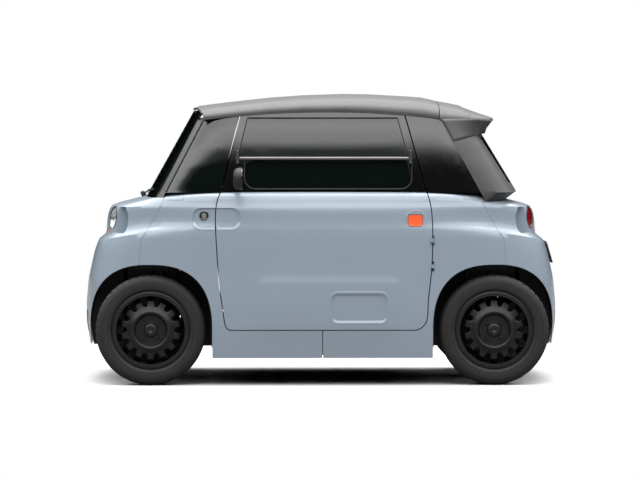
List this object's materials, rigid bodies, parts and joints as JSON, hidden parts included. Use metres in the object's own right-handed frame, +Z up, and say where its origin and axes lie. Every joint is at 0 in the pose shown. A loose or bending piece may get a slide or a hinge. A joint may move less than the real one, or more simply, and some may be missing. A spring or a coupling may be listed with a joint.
{
  "type": "microcar",
  "caption": "Tiny two-seat electric city car with grey-blue body, dark roof and windows, opening doors, steered front wheels and black steel rims.",
  "frame": {"origin": "on the ground, midway between the axles and on the middle plane of the car", "axes": "-X to the front of the car, -Y to its left side, +Z up"},
  "size_m": [2.4138, 1.6186, 1.466],
  "materials": {
    "body_paint": "satin grey-blue, colour through the moulding",
    "black_plastic": "grained black",
    "roof_grey": "dark grey, half gloss",
    "gloss_black": "gloss black",
    "tinted_glass": "tinted, clear",
    "steel_black": "black enamel",
    "frame_steel": "black enamel",
    "tyre_rubber": "matt",
    "seat_fabric": "dark woven",
    "lamp_clear": "clear lens",
    "lamp_red": "red lens",
    "lamp_amber": "amber lens",
    "plate_white": "blank",
    "motor_metal": "cast",
    "battery_case": "moulded"
  },
  "bodies": {
    "body": {"front_clip": "body_paint", "rear_clip": "body_paint", "side_panel_front_left": "body_paint", "side_panel_front_right": "body_paint", "side_panel_rear_left": "body_paint", "side_panel_rear_right": "body_paint", "lock_buttons": "black_plastic", "headlamps": "lamp_clear", "tail_lamps": "lamp_red", "indicators": "lamp_amber", "roof": "roof_grey", "spoiler": "roof_grey", "windscreen": "tinted_glass", "front_pillars": "roof_grey", "quarter_glass": "tinted_glass", "rear_quarter_panels": "gloss_black", "tail_panel": "roof_grey", "rear_window": "tinted_glass", "wheel_liners": "black_plastic", "chassis_frame": "frame_steel", "door_jambs": "black_plastic", "cabin_frame": "frame_steel", "cabin_floor": "black_plastic", "front_suspension": "steel_black", "rear_axle": "steel_black", "drive_motor": "motor_metal", "battery_block": "battery_case", "seat_frames": "black_plastic", "seat_pads": "seat_fabric", "dashboard": "black_plastic", "wiper": "black_plastic", "rear_plate": "plate_white"},
    "door_left": {"door_left": "body_paint", "door_glass_left": "tinted_glass", "door_marker_left": "lamp_amber", "door_mirror_left": "black_plastic"},
    "door_right": {"door_right": "body_paint", "door_glass_right": "tinted_glass", "door_marker_right": "lamp_amber", "door_mirror_right": "black_plastic"},
    "knuckle_left": {"knuckle_left": "steel_black"},
    "knuckle_right": {"knuckle_right": "steel_black"},
    "steering_wheel": {"steering_wheel": "black_plastic"},
    "wheel_front_left": {"tyre_front_left": "tyre_rubber", "rim_front_left": "steel_black"},
    "wheel_front_right": {"tyre_front_right": "tyre_rubber", "rim_front_right": "steel_black"},
    "wheel_rear_left": {"tyre_rear_left": "tyre_rubber", "rim_rear_left": "steel_black"},
    "wheel_rear_right": {"tyre_rear_right": "tyre_rubber", "rim_rear_right": "steel_black"}
  },
  "joints": [
    {"name": "door_left_hinge", "type": "hinge", "parent": "body", "child": "door_left", "pos_m": [0.5525, -0.686, 0.665], "axis": [0, 0, 1], "range_deg": [0, 70]},
    {"name": "door_right_hinge", "type": "hinge", "parent": "body", "child": "door_right", "pos_m": [-0.5525, 0.686, 0.665], "axis": [0, 0, 1], "range_deg": [0, 70]},
    {"name": "steer_left", "type": "hinge", "parent": "body", "child": "knuckle_left", "pos_m": [-0.864, -0.535, 0.277], "axis": [0, 0, 1], "range_deg": [-30, 30]},
    {"name": "steer_right", "type": "hinge", "parent": "body", "child": "knuckle_right", "pos_m": [-0.864, 0.535, 0.277], "axis": [0, 0, 1], "range_deg": [-30, 30]},
    {"name": "steering_wheel_turn", "type": "hinge", "parent": "body", "child": "steering_wheel", "pos_m": [-0.106, -0.3, 0.937], "axis": [0.8, 0, 0.6], "range_deg": [-420, 420]},
    {"name": "wheel_front_left_spin", "type": "hinge", "parent": "knuckle_left", "child": "wheel_front_left", "pos_m": [-0.864, -0.588, 0.277], "axis": [0, 1, 0], "continuous": true},
    {"name": "wheel_front_right_spin", "type": "hinge", "parent": "knuckle_right", "child": "wheel_front_right", "pos_m": [-0.864, 0.588, 0.277], "axis": [0, 1, 0], "continuous": true},
    {"name": "wheel_rear_left_spin", "type": "hinge", "parent": "body", "child": "wheel_rear_left", "pos_m": [0.864, -0.588, 0.277], "axis": [0, 1, 0], "continuous": true},
    {"name": "wheel_rear_right_spin", "type": "hinge", "parent": "body", "child": "wheel_rear_right", "pos_m": [0.864, 0.588, 0.277], "axis": [0, 1, 0], "continuous": true}
  ],
  "couplings": [
    {"joint": "steer_right", "follows": "steer_left", "ratio": 1},
    {"joint": "steering_wheel_turn", "follows": "steer_left", "ratio": 14}
  ]
}
